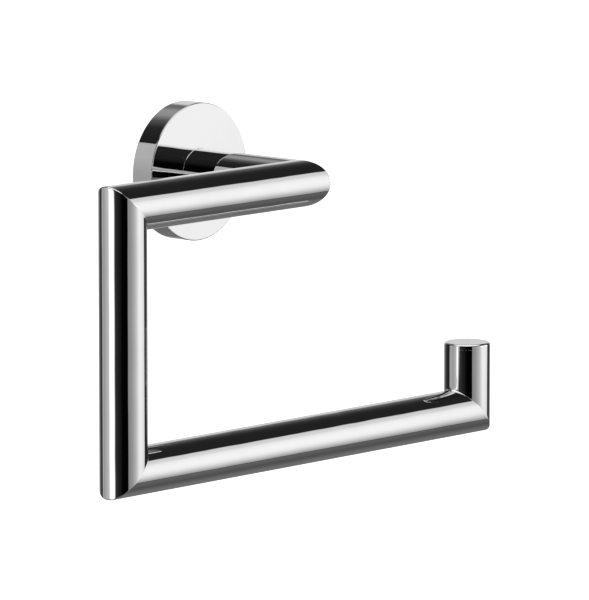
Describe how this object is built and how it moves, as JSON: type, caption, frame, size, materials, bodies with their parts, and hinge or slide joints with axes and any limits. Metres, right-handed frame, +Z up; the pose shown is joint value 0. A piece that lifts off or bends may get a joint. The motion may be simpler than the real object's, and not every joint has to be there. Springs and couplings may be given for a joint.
{
  "type": "wall-mounted paper roll holder",
  "caption": "Polished tube paper towel holder for a wall: a round rosette, a short stem, and a mitred arm that drops and returns under itself to carry the roll, with a raised tip.",
  "frame": {"origin": "on the wall's surface, at the rosette's centre, midway between the two wall screws", "axes": "+X to the right as one faces the wall, +Y into the wall along the stem's axis, +Z up"},
  "size_m": [0.2105, 0.086, 0.134],
  "materials": {
    "polished_chrome": "mirror",
    "cast_zinc": "cast, matt",
    "zinc_plated_steel": "bright zinc plating",
    "stainless_steel": "machined",
    "turned_brass": "turned"
  },
  "bodies": {
    "wall_fixing": {"wall_screw_upper": "zinc_plated_steel", "wall_screw_lower": "zinc_plated_steel", "screw_washer_upper": "zinc_plated_steel", "screw_washer_lower": "zinc_plated_steel", "wall_plate": "cast_zinc"},
    "holder": {"rosette": "polished_chrome", "stem_bolt": "zinc_plated_steel", "stem_lock_washer": "stainless_steel", "stem_washer": "zinc_plated_steel", "stem_insert": "turned_brass", "locating_pin": "stainless_steel", "stem_tube": "polished_chrome", "corner_key_stem": "cast_zinc", "upper_arm_tube": "polished_chrome", "corner_key_upper": "cast_zinc", "drop_tube": "polished_chrome", "corner_key_lower": "cast_zinc", "lower_arm_tube": "polished_chrome", "corner_key_end": "cast_zinc", "tip_tube": "polished_chrome", "end_cap": "polished_chrome"},
    "set_screw": {"set_screw": "stainless_steel"}
  },
  "joints": [
    {"name": "holder_release", "type": "slide", "parent": "wall_fixing", "child": "holder", "axis": [0, -1, 0], "range_m": [0, 0.012]},
    {"name": "set_screw_travel", "type": "slide", "parent": "holder", "child": "set_screw", "axis": [0, 0, -1], "range_m": [0, 0.0025]}
  ]
}
